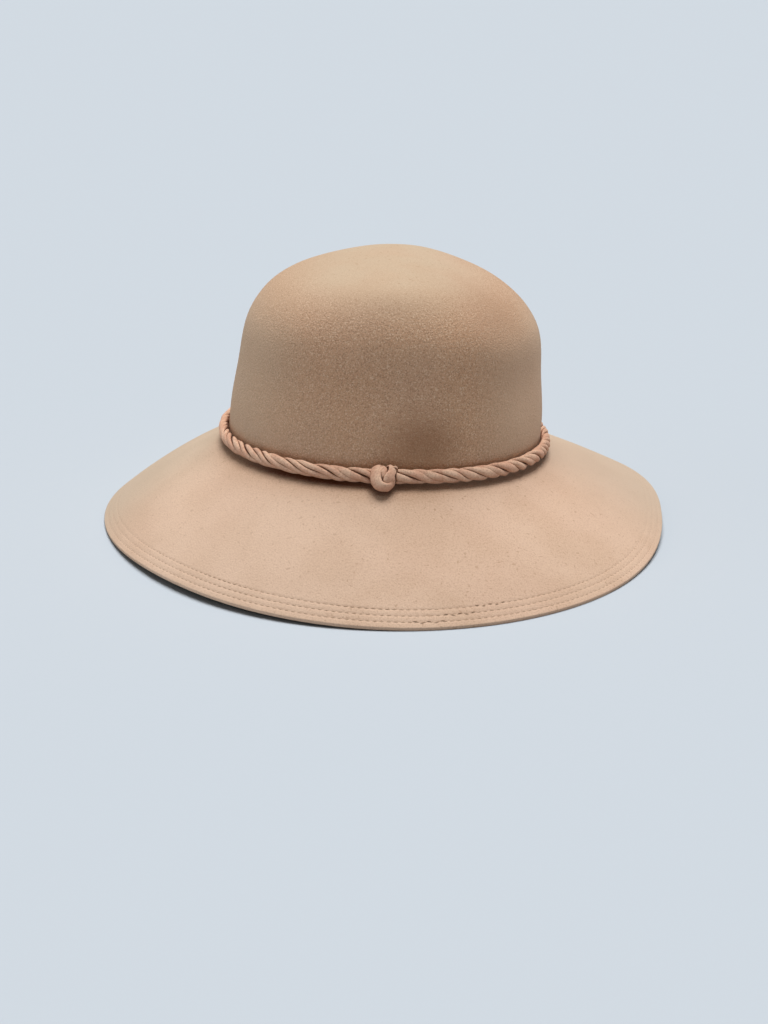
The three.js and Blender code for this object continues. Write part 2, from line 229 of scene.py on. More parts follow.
class CrownOutline:
    """The crown's sections as functions of the length along its outline, from root to top."""

    def __init__(self):
        heights = [row["height_share"] * CROWN_HEIGHT for row in CROWN_SECTIONS]
        widths = [row["half_width"] for row in CROWN_SECTIONS]
        lengths = np.concatenate([[0], np.cumsum(np.hypot(np.diff(heights), np.diff(widths)))])
        self.total = lengths[-1]
        self.lengths = np.concatenate([lengths, (2 * self.total - lengths[:-1])[::-1]])
        self.half_width = self.mirrored("half_width", -1)
        self.height_share = self.mirrored("height_share", 1)
        self.shift_x = self.mirrored("shift_x", 1)
        self.front_stretch = self.mirrored("front_stretch", 1)

    def mirrored(self, column, sign):
        """A column's spline, mirrored past the top so that the dome is level there."""
        values = [row[column] for row in CROWN_SECTIONS]
        return natural_spline(self.lengths, values + [sign * value for value in values[-2::-1]])


crown_outline = CrownOutline()


def oval_radius(azimuth):
    """Radius of the crown's plan at an azimuth, for a half width of 1."""
    angle = np.radians(azimuth)
    across = np.abs(np.cos(angle)) ** OVAL_EXPONENT
    along = np.abs(np.sin(angle) / OVAL_LENGTH_TO_WIDTH) ** OVAL_EXPONENT
    return (across + along) ** (-1 / OVAL_EXPONENT)


def oval_normal(azimuth):
    """The level direction straight out of the crown's plan at an azimuth."""
    x = np.cos(np.radians(azimuth))
    y = np.sin(np.radians(azimuth))
    steep = OVAL_EXPONENT - 1
    across = np.sign(x) * np.abs(x) ** steep
    along = np.sign(y) * np.abs(y) ** steep / OVAL_LENGTH_TO_WIDTH**OVAL_EXPONENT
    size = np.hypot(across, along)
    return np.stack([across / size, along / size, np.zeros_like(size)], axis=-1)


def dent_depth(azimuth, length):
    """How far the dents push the wall in. They fade out towards the top."""
    base = CROWN_SECTIONS[0]["half_width"]
    depth = 0
    for dent in DENTS:
        across = np.radians(turn_from(dent["azimuth"], azimuth)) * base / dent["half_across"]
        rise = crown_outline.height_share(length) - dent["height_share"]
        up = rise * CROWN_HEIGHT / dent["half_up"]
        depth = depth + dent["depth"] * np.exp(-(across**2) - up**2)
    return depth * crown_outline.half_width(length) / base


def crown_point(azimuth, length):
    """Points on the outside of the crown, at a length along its outline from the root."""
    length = np.broadcast_to(length, azimuth.shape)
    height = crown_outline.height_share(length) * CROWN_HEIGHT
    radius = crown_outline.half_width(length) * oval_radius(azimuth)
    x = crown_outline.shift_x(length) + radius * np.cos(np.radians(azimuth))
    forward = np.maximum(0, -np.sin(np.radians(azimuth)))
    stretch = 1 + crown_outline.front_stretch(length) * forward**2
    y = radius * np.sin(np.radians(azimuth)) * stretch
    points = np.stack(
        [
            CROWN_CENTRE[0] + x - ROOT_PLANE_SLOPE_X * height,
            CROWN_CENTRE[1] + y - ROOT_PLANE_SLOPE_Y * height,
            ROOT_PLANE_HEIGHT + height + ROOT_PLANE_SLOPE_X * x + ROOT_PLANE_SLOPE_Y * y,
        ],
        axis=-1,
    )
    return points - oval_normal(azimuth) * dent_depth(azimuth, length)[..., None]


def brim_fall(azimuth):
    """How much lower the brim's edge is than its root."""
    return crown_point(azimuth, 0.0)[..., 2] - EDGE_HEIGHT - edge_lift(azimuth)


def brim_point(azimuth, share):
    """Points on the top of the brim, at a share of its reach out from the root."""
    root = crown_point(azimuth, 0.0)
    droop = brim_droop(azimuth)
    drop = brim_fall(azimuth) * ((1 - droop) * share + droop * share**2)
    points = root + oval_normal(azimuth) * (brim_reach(azimuth) * share)[..., None]
    points[..., 2] = root[..., 2] - drop
    return points


def edge_slope(azimuth):
    """The brim's fall over its reach, at its edge."""
    return brim_fall(azimuth) * (1 + brim_droop(azimuth)) / brim_reach(azimuth)


def share_from_edge(azimuth, distance):
    """The share of the brim's reach that lies a distance in from its edge, along the felt."""
    return 1 - distance / (brim_reach(azimuth) * np.hypot(1, edge_slope(azimuth)))


def fillet_point(azimuth, share):
    """Points on the hollow curve between the wall (share 0) and the brim (share 1)."""
    on_wall = crown_point(azimuth, FILLET_LEG)
    on_brim = brim_point(azimuth, FILLET_LEG / brim_reach(azimuth))
    return cut_corner(on_wall, crown_point(azimuth, 0.0), on_brim, share)


def sampled_noise(points, wavelength, seed):
    """Smooth noise between about -1 and 1 at each of the points."""
    shift = Vector((seed * 7.3, seed * 3.1, seed * 5.7))
    flat = points.reshape(-1, 3) / wavelength
    values = [noise.noise(Vector(point) + shift) for point in flat]
    return np.array(values).reshape(points.shape[:-1])


def grid_normals(grid):
    """Unit normals of a grid whose rows run outwards and whose columns go once round."""
    down = np.gradient(grid, axis=0)
    across = np.roll(grid, -1, axis=1) - np.roll(grid, 1, axis=1)
    return unit(np.cross(down, across))


def grid_faces(rows, columns):
    """Quads between the points of a grid whose rows go once round."""
    faces = []
    for row in range(rows - 1):
        for column in range(columns):
            a = row * columns + column
            b = row * columns + (column + 1) % columns
            faces.append((a, a + columns, b + columns, b))
    return faces


def tube_faces(rows, columns):
    """Faces of a tube of points, with both of its ends closed."""
    first_end = tuple(range(columns))
    last_end = tuple(reversed(range((rows - 1) * columns, rows * columns)))
    return grid_faces(rows, columns) + [first_end, last_end]


def turned(faces):
    """The same faces, facing the other way."""
    return [tuple(reversed(face)) for face in faces]


def mesh_object(name, vertices, faces):
    """A smooth mesh object in the scene, from vertices in millimetres."""
    mesh = bpy.data.meshes.new(name)
    mesh.from_pydata((np.asarray(vertices) * MM).tolist(), [], faces)
    mesh.validate()
    mesh.polygons.foreach_set("use_smooth", [True] * len(mesh.polygons))
    made = bpy.data.objects.new(name, mesh)
    bpy.context.collection.objects.link(made)
    return made


def joined(name, pieces):
    """One mesh object from many pairs of vertices and faces."""
    vertices = []
    faces = []
    for piece_vertices, piece_faces in pieces:
        first = len(vertices)
        vertices.extend(piece_vertices)
        faces.extend(tuple(first + corner for corner in face) for face in piece_faces)
    return mesh_object(name, vertices, faces)


def groove_depth(distance):
    """Depth of the pressed grooves under the stitch rows, at a distance in from the edge."""
    depth = 0.0
    for row in STITCH_ROWS:
        depth = depth + GROOVE_DEPTH * np.exp(-(((distance - row) / GROOVE_HALF_WIDTH) ** 2))
    return depth


def felt_outside(azimuths):
    """Rows of points over the outside of the felt, from near the dome's top to the edge's corner,
    and each row's distance in from the edge where it lies in the stitched zone, or else a far one."""
    rows = []
    for i in range(1, CROWN_ROWS + 1):
        length = crown_outline.total + (FILLET_LEG - crown_outline.total) * i / CROWN_ROWS
        rows.append(crown_point(azimuths, length))
    for share in FILLET_SHARES:
        rows.append(fillet_point(azimuths, share))
    start = FILLET_LEG / brim_reach(azimuths)
    stop = share_from_edge(azimuths, STITCH_ZONE)
    for i in range(BRIM_ROWS):
        rows.append(brim_point(azimuths, start + (stop - start) * i / BRIM_ROWS))
    far = 10 * STITCH_ZONE
    distances = [far] * len(rows)
    for i in range(STITCH_ZONE_ROWS + 1):
        distance = STITCH_ZONE + (EDGE_ROUNDING - STITCH_ZONE) * i / STITCH_ZONE_ROWS
        rows.append(brim_point(azimuths, share_from_edge(azimuths, distance)))
        distances.append(distance)
    return np.array(rows), np.array(distances)


def edge_rows(azimuths):
    """Rows of points round the cut edge, from its rounded upper corner to the flat ring below."""
    out = oval_normal(azimuths)
    up = np.array([0.0, 0.0, 1.0])
    slope = edge_slope(azimuths)[:, None]
    along = (out - up * slope) / np.hypot(1, slope)
    down = -(out * EDGE_LEAN + up * EDGE_HEIGHT) / math.hypot(EDGE_LEAN, EDGE_HEIGHT)
    corner = brim_point(azimuths, np.ones_like(azimuths))
    foot = corner - out * EDGE_LEAN
    foot[:, 2] = edge_lift(azimuths)
    rows = []
    for share in CORNER_SHARES:
        rows.append(cut_corner(corner - along * EDGE_ROUNDING, corner, corner + down * EDGE_ROUNDING, share))
    for share in FOOT_SHARES:
        rows.append(cut_corner(foot - down * FOOT_ROUNDING, foot, foot - out * FOOT_ROUNDING, share))
    rows.append(foot - out * (EDGE_LAND - EDGE_LEAN))
    return np.array(rows)


def felt_relief(points):
    """How far the felt's soft unevenness lifts its surface. It fades out towards the floor."""
    lift = np.zeros(points.shape[:-1])
    for seed, wave in enumerate(UNDULATIONS, 1):
        lift += wave["height"] * sampled_noise(points, wave["wavelength"], seed)
    share = (points[..., 2] - UNDULATION_START) / (UNDULATION_FULL - UNDULATION_START)
    return lift * np.clip(share, 0, 1)


def dome_top(ring):
    """The point that closes the dome over the topmost ring of its points."""
    top = ring.mean(axis=0)
    top[2] = ring[:, 2].max() + DOME_CLOSING_RISE
    return top


def make_felt():
    """Crown and brim as one closed skin: over the outside, round the edge and back inside."""
    azimuths = np.arange(FELT_COLUMNS) * 360 / FELT_COLUMNS
    smooth, distances = felt_outside(azimuths)
    normals = grid_normals(smooth)
    uneven = smooth + felt_relief(smooth)[..., None] * normals
    fade = GROOVE_SIDE_SHARE + (1 - GROOVE_SIDE_SHARE) * np.sin(np.radians(azimuths)) ** 2
    grooves = groove_depth(distances)[:, None, None] * fade[None, :, None] * normals
    outside = uneven - grooves
    inside = uneven + grooves * UNDERSIDE_GROOVE_SHARE - FELT_THICKNESS * normals
    inside_rows = np.arange(len(smooth) - ROWS_OVER_LAND)[::-1]
    kept = (inside_rows >= CROWN_ROWS) | (inside_rows % 2 == 0)  # every second row inside the crown
    inside = inside[inside_rows[kept]]

    grid = np.concatenate([outside, edge_rows(azimuths), inside])
    rows = len(grid)
    tops = [dome_top(outside[0]), dome_top(inside[-1])]
    vertices = np.concatenate([grid.reshape(-1, 3), tops])
    faces = grid_faces(rows, FELT_COLUMNS)
    outer_top = rows * FELT_COLUMNS
    inner_top = outer_top + 1
    last = outer_top - FELT_COLUMNS
    for column in range(FELT_COLUMNS):
        following = (column + 1) % FELT_COLUMNS
        faces.append((outer_top, column, following))
        faces.append((inner_top, last + following, last + column))
    return mesh_object("hat_felt", vertices, faces)


def stitch_tube(points, sideways, up, sides):
    """Vertices and faces of one closed stitch, swept along its points and narrower at its ends."""
    vertices = []
    last = len(points) - 1
    for i in range(last + 1):
        taper = math.sin(math.pi * (STITCH_TAPER + (1 - 2 * STITCH_TAPER) * i / last)) ** 0.5
        for side in range(sides):
            angle = 2 * math.pi * side / sides
            offset = sideways[i] * math.cos(angle) + up[i] * math.sin(angle)
            vertices.append(points[i] + offset * THREAD_RADIUS * taper)
    faces = []
    for i in range(last):
        for side in range(sides):
            a = i * sides + side
            b = i * sides + (side + 1) % sides
            faces.append((a, b, b + sides, a + sides))
    faces.append(tuple(reversed(range(sides))))
    faces.append(tuple(range(last * sides, (last + 1) * sides)))
    return vertices, faces


class StitchPath:
    """Closed path of one row of stitches, in its groove on top of the brim or on the underside."""

    def __init__(self, row, under):
        self.azimuths = np.linspace(0, 360, STITCH_PATH_POINTS)
        share = share_from_edge(self.azimuths, row)
        top = brim_point(self.azimuths, share)
        inward = unit(brim_point(self.azimuths, share - INWARD_STEP) - top)
        normals = np.cross(unit(np.gradient(top, axis=0)), inward)
        normals *= np.sign(normals[:, 2])[:, None]
        if under:
            self.points = top - normals * (FELT_THICKNESS - GROOVE_DEPTH * UNDERSIDE_GROOVE_SHARE)
            self.up = -normals
            self.sideways = -inward
        else:
            self.points = top - normals * GROOVE_DEPTH
            self.up = normals
            self.sideways = inward
        self.lengths = running_lengths(self.points)
        self.total = self.lengths[-1]

    def length_at(self, azimuth):
        return np.interp(azimuth, self.azimuths, self.lengths)

    def stitch(self, start, length, arch, kind, aside=0.0):
        """One stitch that bows up from the path, or from a line a little aside of it."""
        shares = np.linspace(0, 1, kind["points"])
        s = np.mod(start + shares * length, self.total)
        up = along_line(s, self.lengths, self.up)
        sideways = along_line(s, self.lengths, self.sideways)
        rise = THREAD_RADIUS * (arch["bow"] * np.sin(np.pi * shares) - arch["sunk"])
        points = along_line(s, self.lengths, self.points) + up * rise[:, None] + sideways * aside
        return stitch_tube(points, sideways, up, kind["sides"])


def stitch_row(row, under):
    """Stitches once round the brim in one row: on top of the felt, or below it where under is true."""
    path = StitchPath(row, under)
    count = round(path.total / STITCH_LENGTH)
    pitch = path.total / count
    kind = UNDER_STITCH if under else TOP_STITCH
    pieces = []
    for i in range(count):
        start = (i + 0.5 * under) * pitch + STITCH_GAP / 2
        pieces.append(path.stitch(start, pitch - STITCH_GAP, STITCH_ARCH, kind))
    return pieces


def lapped_stitches(row, azimuth):
    """The stitches of one row that are sewn a second time, from side to side over the first ones."""
    path = StitchPath(row, under=False)
    length = LAPPED_LENGTH_SHARE * STITCH_LENGTH
    pieces = []
    for i in range(LAPPED_STITCHES):
        start = path.length_at(azimuth) + (i + 0.5) * STITCH_LENGTH
        aside = LAPPED_ASIDE * (-1) ** i
        pieces.append(path.stitch(start, length, LAPPED_ARCH, TOP_STITCH, aside))
    return pieces


def make_stitches():
    """The three rows of stitching, on both sides of the brim."""
    pieces = []
    for row, lap_azimuth in zip(STITCH_ROWS, LAP_AZIMUTHS):
        pieces += stitch_row(row, under=False)
        pieces += lapped_stitches(row, lap_azimuth)
        pieces += stitch_row(row, under=True)
    return joined("brim_stitches", pieces)


class BandLine:
    """Centre line of the band, from the knot's +X side round the back of the crown to its -X side."""

    def __init__(self):
        half_length = CROWN_SECTIONS[0]["half_width"] * OVAL_LENGTH_TO_WIDTH + BAND_RADIUS
        half_turn = math.degrees(math.asin(BAND_START / half_length))
        azimuths = np.linspace(FRONT + half_turn, FRONT + 360 - half_turn, BAND_LINE_POINTS)
        self.outward = oval_normal(azimuths)
        wall = crown_point(azimuths, band_rise(azimuths))
        self.points = wall + self.outward * (BAND_RADIUS + SEAT_GAP)
        self.lengths = running_lengths(self.points)
        self.total = self.lengths[-1]
        self.tangents = unit(np.gradient(self.points, self.lengths, axis=0))

    def frames(self, s):
        """Centre, tangent, and the level and upright directions across the line, at each length."""
        centre = along_line(s, self.lengths, self.points)
        tangent = along_line(s, self.lengths, self.tangents)
        level = square_to(tangent, along_line(s, self.lengths, self.outward))
        return centre, tangent, level, np.cross(tangent, level)


# How one folded ply looks in section, as radius against angle about the rope's centre. The angle
# runs from one side of the ply to the other. Each of its two folds bulges between a slit at its
# start and one at its end. The slit at the end is the sharper one, and the fold's edge stands over
# it as a lip. Shares are of the way along a fold.
PLY_HALF_ANGLE = 86
FOLD_SWELL = 0.15  # how far the middle of a fold stands out past the rope's own radius
FOLD_ROUNDING = 1.15  # how much lower a fold is at its ends
FOLD_CREST = 0.55  # the share where a fold is highest
PLAIN_ROUNDING = 0.4  # the part of the rounding that an end without a slit has
SLIT_DEPTH = 1.25
START_SLIT_WIDTH = 0.09
END_SLIT_WIDTH = 0.045
INNER_SLIT_SHARE = 0.36  # depth of the slit within a ply, as a share of the one between the plies
SECOND_FOLD_SWELL = -0.5  # where the first fold swells, the second one sinks by this part of it
FOLD_SHARES = np.concatenate(
    [np.linspace(0, 0.12, 6), np.linspace(0.18, 0.86, 8), [0.9, 0.93, 0.96, 0.98, 1.0]]
)
FLAT_SIDE_POINTS = 5  # on the side of a ply that faces the other one
PLY_STEPS = 560

# What varies along a ply: how far its winding wavers, in turns, the angle of the crease between its
# folds, the depths of its slits, and the swelling of its first fold. Each starts from a middle value.
PLY_MIDDLES = dict(waver=0.0, crease=4.0, slit=0.8, inner_slit=1.0, swell=0.0)

# The waves that vary it: their size and length, and how far on in its cycle each one starts, for
# both plies and in addition for each number of a ply
PLY_WAVES = [
    dict(of="waver", size=0.028, length=61, start=0.0, start_by_number=0.13),
    dict(of="waver", size=0.01, length=23, start=0.4, start_by_number=0.0),
    dict(of="crease", size=17.0, length=47, start=0.0, start_by_number=0.31),
    dict(of="crease", size=6.0, length=19, start=0.0, start_by_number=0.2),
    dict(of="slit", size=0.2, length=33, start=0.0, start_by_number=0.55),
    dict(of="inner_slit", size=0.9, length=41, start=0.0, start_by_number=0.23),
    dict(of="swell", size=0.22, length=27, start=0.0, start_by_number=0.37),
    dict(of="swell", size=0.12, length=11, start=0.0, start_by_number=0.7),
]


def along_ply(what, s, number):
    """One of the values that vary along a ply, at each of the lengths s."""
    value = np.full(len(s), PLY_MIDDLES[what])
    for wave in PLY_WAVES:
        if wave["of"] == what:
            cycle = s / wave["length"] + wave["start"] + wave["start_by_number"] * number
            value += wave["size"] * np.sin(2 * np.pi * cycle)
    return value


def fold_radius(start_slit, end_slit):
    """Radius along one fold, from the slit that it starts in to its lip."""
    before = np.clip(1 - FOLD_SHARES / FOLD_CREST, 0, 1) ** 2
    after = np.clip((FOLD_SHARES - FOLD_CREST) / (1 - FOLD_CREST), 0, 1) ** 2
    start_rounding = PLAIN_ROUNDING + (1 - PLAIN_ROUNDING) * start_slit
    end_rounding = PLAIN_ROUNDING + (1 - PLAIN_ROUNDING) * end_slit
    rounded = FOLD_ROUNDING * (start_rounding * before + end_rounding * after)
    start = SLIT_DEPTH * start_slit * np.exp(-FOLD_SHARES / START_SLIT_WIDTH)
    end = SLIT_DEPTH * end_slit * np.exp((FOLD_SHARES - 1) / END_SLIT_WIDTH)
    return BAND_RADIUS + FOLD_SWELL - rounded - start - end


def ply_section(crease, slit, inner_slit, swell):
    """Section of a ply, as distances out from the rope's centre and distances to the side."""
    first_angle = -PLY_HALF_ANGLE + (crease + PLY_HALF_ANGLE) * FOLD_SHARES
    second_angle = crease + (PLY_HALF_ANGLE - crease) * FOLD_SHARES
    bulge = swell * np.sin(np.pi * FOLD_SHARES)
    first_radius = fold_radius(slit, inner_slit) + bulge
    second_radius = fold_radius(inner_slit, slit) + SECOND_FOLD_SWELL * bulge
    angle = np.radians(np.concatenate([first_angle, second_angle]))
    radius = np.concatenate([first_radius, second_radius])
    out = np.maximum(radius * np.cos(angle), PLY_GAP / 2)
    side = radius * np.sin(angle)
    flat_side = np.linspace(side[-1], side[0], FLAT_SIDE_POINTS + 2)[1:-1]
    out = np.concatenate([out, np.full(FLAT_SIDE_POINTS, PLY_GAP / 2)])
    return out, np.concatenate([side, flat_side])


def make_ply(name, line, start_turn, number):
    """One ply of the band, a felt strip folded in two and wound round the other ply."""
    s = np.linspace(0, line.total, PLY_STEPS)
    centre, tangent, level, upright = line.frames(s)
    turn = 2 * np.pi * (start_turn + s / BAND_PITCH + along_ply("waver", s, number))
    crease = along_ply("crease", s, number)
    slit = along_ply("slit", s, number)
    inner_slit = INNER_SLIT_SHARE * along_ply("inner_slit", s, number)
    swell = along_ply("swell", s, number)
    grid = []
    for i in range(PLY_STEPS):
        out, side = ply_section(crease[i], slit[i], inner_slit[i], swell[i])
        outward = level[i] * math.cos(turn[i]) + upright[i] * math.sin(turn[i])
        section = out[:, None] * outward + side[:, None] * np.cross(tangent[i], outward)
        from_wall = (section * level[i]).sum(axis=1) + BAND_RADIUS
        pressed = np.maximum(from_wall * BAND_SQUASH, 0)
        grid.append(centre[i] + section + (pressed - from_wall)[:, None] * level[i])
    grid = np.array(grid)
    return mesh_object(name, grid.reshape(-1, 3), turned(tube_faces(PLY_STEPS, grid.shape[1])))


felt = make_felt()
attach(felt, "root")
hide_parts("felt_body")

stitches = make_stitches()
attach(stitches, "root")

band_line = BandLine()
plies = []
for number, start_turn in ((1, 0.0), (2, 0.5)):
    ply = make_ply(f"twisted_ply_{number}", band_line, start_turn, number)
    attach(ply, "root")
    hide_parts(f"band_ply_{number}")
    plies.append(ply)


# The knot in its own axes: x to the side, y up along its face, z out of its face. Each strip of
# felt passes through its rows, and the columns are x, y, z and the strip's width there.
KNOT_STRIPS = [
    dict(
        thickness=1.7,
        rows=[
            (-2.2, 4.7, -2.4, 4.6),
            (-3.4, 5.2, 0.5, 5.2),
            (-3.7, 2.2, 2.7, 5.6),
            (-3.5, -1.0, 3.6, 5.9),
            (-2.3, -3.7, 3.9, 5.6),
            (0.3, -5.0, 3.5, 4.8),
            (2.9, -4.3, 2.4, 4.4),
            (4.5, -2.0, 0.6, 4.0),
        ],
    ),
    dict(
        thickness=1.7,
        rows=[
            (2.6, 4.5, -2.6, 4.0),
            (4.2, 5.2, 0.3, 4.2),
            (4.1, 2.7, 2.7, 4.2),
            (3.1, -0.3, 3.7, 5.2),
            (2.0, -2.6, 3.0, 5.2),
            (2.0, -4.6, 1.0, 4.0),
        ],
    ),
    dict(
        thickness=2.2,
        rows=[
            (-2.4, 4.4, -0.6, 4.6),
            (-1.0, 4.1, 1.8, 5.6),
            (-0.4, 1.6, 2.7, 6.0),
            (-0.6, -1.0, 2.4, 5.6),
            (-0.8, -3.4, 1.2, 4.8),
        ],
    ),
    dict(
        thickness=3.6,
        rows=[
            (-4.9, 0.0, -0.4, 6.2),
            (0.0, -0.4, 0.8, 7.4),
            (4.9, 0.0, -0.4, 6.2),
        ],
    ),
    dict(
        thickness=1.3,
        rows=[
            (3.0, 3.6, -1.4, 3.0),
            (4.6, 4.7, 0.2, 3.2),
            (6.0, 5.1, 1.2, 2.6),
        ],
    ),
]
KNOT_CREASE = dict(height=0.3, wavelength=2.6, seed=5)
KNOT_CORE_DEPTH = 2.0  # of the point behind the knot's middle that the strips face away from
STRIP_SQUARENESS = 0.55  # 1 would make a strip's section an ellipse, and 0 a rectangle
STRIP_CUP = 0.075  # how strongly a strip is cupped across its width
STRIP_STEPS = 44
STRIP_CORNERS = 20


def squared_off(values):
    """Sines or cosines drawn out towards 1 and -1, which make a rounded rectangle of a circle."""
    return np.sign(values) * np.abs(values) ** STRIP_SQUARENESS


def knot_strip(strip):
    """One strip of the knot: a flat felt ribbon with rounded edges, cupped round the knot's core."""
    rows = np.array(strip["rows"]) * KNOT_STRETCH
    lengths = running_lengths(rows[:, :3])
    s = np.linspace(0, lengths[-1], STRIP_STEPS)
    path = np.stack([natural_spline(lengths, rows[:, k])(s) for k in range(3)], axis=-1)
    width = natural_spline(lengths, rows[:, 3])(s)
    tangent = unit(np.gradient(path, axis=0))
    facing = square_to(tangent, path + np.array([0.0, 0.0, KNOT_CORE_DEPTH]))
    sideways = np.cross(tangent, facing)
    angles = np.linspace(0, 2 * np.pi, STRIP_CORNERS, endpoint=False)
    across = squared_off(np.cos(angles))
    through = squared_off(np.sin(angles))
    grid = []
    for i in range(STRIP_STEPS):
        side = across * width[i] / 2
        rise = through * strip["thickness"] / 2 - STRIP_CUP * side**2
        grid.append(path[i] + side[:, None] * sideways[i] + rise[:, None] * facing[i])
    grid = np.array(grid)
    lumps = KNOT_CREASE["height"] * sampled_noise(grid, KNOT_CREASE["wavelength"], KNOT_CREASE["seed"])
    grid = grid + (grid - path[:, None, :]) * (lumps / strip["thickness"])[..., None]
    return grid.reshape(-1, 3), tube_faces(STRIP_STEPS, STRIP_CORNERS)


def make_knot():
    """The knot's strips, turned to face out over the brim, at the foot of the crown's front wall."""
    foot = crown_point(np.array([float(FRONT)]), 0.0)[0]
    place = foot + np.array([KNOT_OFFSET["side"], -KNOT_OFFSET["out"], KNOT_OFFSET["up"]])
    lean = math.radians(KNOT_LEAN)
    side = np.array([1.0, 0.0, 0.0])
    up = np.array([0.0, math.sin(lean), math.cos(lean)])
    out = np.array([0.0, -math.cos(lean), math.sin(lean)])
    pieces = []
    for strip in KNOT_STRIPS:
        vertices, faces = knot_strip(strip)
        pieces.append((place + vertices @ np.stack([side, up, out]), faces))
    return joined("tied_knot", pieces)


knot = make_knot()
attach(knot, "root")
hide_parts("band_knot")


def srgb(red, green, blue):
    """A colour given in 0 to 255 as the shader's linear one."""
    values = [channel / 255 for channel in (red, green, blue)]
    return tuple(v / 12.92 if v <= 0.04045 else ((v + 0.055) / 1.055) ** 2.4 for v in values) + (1.0,)


HOLLOW_SAMPLES = 8
FELT_SPECULAR = 0.15
SHEEN_ROUGHNESS = 0.5


class Nodes:
    """A small helper that adds nodes to a material and links them."""

    def __init__(self, name):
        self.material = bpy.data.materials.new(name)
        self.material.use_nodes = True
        self.tree = self.material.node_tree
        self.shader = self.tree.nodes["Principled BSDF"]
        coordinates = self.tree.nodes.new("ShaderNodeTexCoord")
        self.place = coordinates.outputs["Object"]
        self.facing = coordinates.outputs["Normal"]

    def link(self, value, socket):
        """Sets a socket to a value, or links it where the value comes out of another node."""
        if isinstance(value, bpy.types.NodeSocket):
            self.tree.links.new(value, socket)
        else:
            socket.default_value = value

    def noise(self, size, detail, roughness=0.5):
        """Noise with features of about a size in millimetres."""
        made = self.tree.nodes.new("ShaderNodeTexNoise")
        self.link(self.place, made.inputs["Vector"])
        self.link(1 / (size * MM), made.inputs["Scale"])
        self.link(detail, made.inputs["Detail"])
        self.link(roughness, made.inputs["Roughness"])
        return made.outputs["Fac"]

    def ramp(self, value, low, high, to_low=0.0, to_high=1.0):
        """A value from low to high turned smoothly into one from to_low to to_high."""
        made = self.tree.nodes.new("ShaderNodeMapRange")
        made.interpolation_type = "SMOOTHSTEP"
        self.link(value, made.inputs["Value"])
        self.link(low, made.inputs["From Min"])
        self.link(high, made.inputs["From Max"])
        self.link(to_low, made.inputs["To Min"])
        self.link(to_high, made.inputs["To Max"])
        return made.outputs["Result"]

    def math(self, operation, first, second):
        made = self.tree.nodes.new("ShaderNodeMath")
        made.operation = operation
        self.link(first, made.inputs[0])
        self.link(second, made.inputs[1])
        return made.outputs["Value"]

    def mix(self, share, first, second):
        """A colour that goes from the first to the second one as the share goes from 0 to 1."""
        made = self.tree.nodes.new("ShaderNodeMix")
        made.data_type = "RGBA"
        self.link(share, made.inputs["Factor"])
        self.link(first, made.inputs["A"])
        self.link(second, made.inputs["B"])
        return made.outputs["Result"]

    def bump(self, height, strength, distance, below=None):
        """A bump of a height that is given in shares of a distance in millimetres."""
        made = self.tree.nodes.new("ShaderNodeBump")
        self.link(height, made.inputs["Height"])
        self.link(strength, made.inputs["Strength"])
        self.link(distance * MM, made.inputs["Distance"])
        if below is not None:
            self.link(below, made.inputs["Normal"])
        return made.outputs["Normal"]

    def along_axis(self, vector, axis):
        split = self.tree.nodes.new("ShaderNodeSeparateXYZ")
        self.link(vector, split.inputs["Vector"])
        return split.outputs[axis]

    def place_along(self, axis):
        """The place along an axis, in millimetres. Along Z it is the height above the floor."""
        return self.math("MULTIPLY", self.along_axis(self.place, axis), 1 / MM)

    def facing_share(self, axis):
        """How far the surface faces along an axis: 1 is straight along it, and 0 is square to it."""
        return self.along_axis(self.facing, axis)

    def distance_from(self, spot):
        """Distance from a spot, both in millimetres."""
        made = self.tree.nodes.new("ShaderNodeVectorMath")
        made.operation = "DISTANCE"
        self.link(self.place, made.inputs[0])
        self.link([value * MM for value in spot], made.inputs[1])
        return self.math("MULTIPLY", made.outputs["Value"], 1 / MM)

    def hollow(self, distance):
        """How hidden a place is by the surfaces within a distance in millimetres, from 0 to 1."""
        made = self.tree.nodes.new("ShaderNodeAmbientOcclusion")
        made.samples = HOLLOW_SAMPLES
        self.link(distance * MM, made.inputs["Distance"])
        return self.math("SUBTRACT", 1.0, made.outputs["AO"])

    def finish(self, color, normal, sheen, sheen_tint=(1, 1, 1, 1), roughness=0.95):
        """The material, once its shader has the colour and the normal and is set to matt felt."""
        self.link(color, self.shader.inputs["Base Color"])
        self.link(normal, self.shader.inputs["Normal"])
        self.link(roughness, self.shader.inputs["Roughness"])
        self.link(FELT_SPECULAR, self.shader.inputs["Specular IOR Level"])
        self.link(sheen, self.shader.inputs["Sheen Weight"])
        self.link(SHEEN_ROUGHNESS, self.shader.inputs["Sheen Roughness"])
        self.link(sheen_tint, self.shader.inputs["Sheen Tint"])
        return self.material


# Tones of the body's felt, and of the sheen, shade and shadow painted on it
BRIM_TONE = srgb(224, 192, 167)
CROWN_TONE = srgb(206, 163, 130)
DOME_TONE = srgb(202, 180, 154)
BLOTCH_TONE = srgb(196, 161, 132)
PINKER_TONE = srgb(214, 174, 150)
DARK_GRAIN_TONE = srgb(158, 118, 90)
PALE_POINT_TONE = srgb(238, 210, 180)
SPECK_TONE = srgb(164, 126, 98)
# Greyer felt, a painted sheen on the crown's sides
PAINTED_SHEEN_TONE = srgb(207, 184, 158)
# Darker, greyer felt, painted shade on the brim towards the back
PAINTED_BRIM_SHADE_TONE = srgb(192, 178, 157)
# Deep brown painted shadow below the band
PAINTED_SHADOW_TONE = srgb(98, 46, 16)
BODY_SHEEN_TINT = srgb(240, 222, 200)
